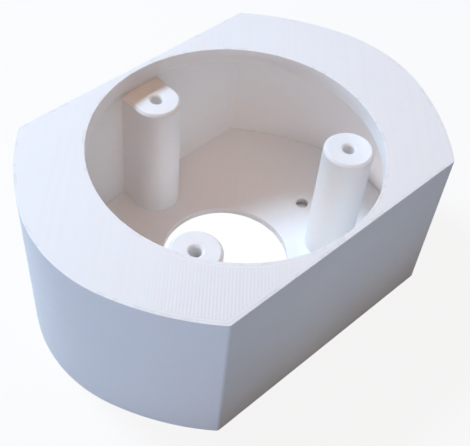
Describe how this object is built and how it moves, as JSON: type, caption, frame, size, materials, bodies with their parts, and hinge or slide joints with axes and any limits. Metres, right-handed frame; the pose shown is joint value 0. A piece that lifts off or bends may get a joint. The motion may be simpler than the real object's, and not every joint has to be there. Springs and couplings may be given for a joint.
{
  "type": "camera wall mount",
  "caption": "Thin-walled wall mount housing for a small camera, with flat sides, round ends, a round front opening, screw bosses set below it and a cable hole in its floor.",
  "frame": {"origin": "centre of the base, on the face that goes against the wall", "axes": "+Z out of the wall, towards the opening in the front plate; +X along the housing, from one round end to the other; +Y square to the flat side that carries a boss"},
  "size_m": [0.0608, 0.0416, 0.025],
  "materials": {
    "printed_plastic": "cool white filament print: fine layer lines on the walls, diagonal lines inside a narrow border on the front face, slight sheen"
  },
  "bodies": {
    "root": {"mount_housing": "printed_plastic"}
  },
  "joints": []
}
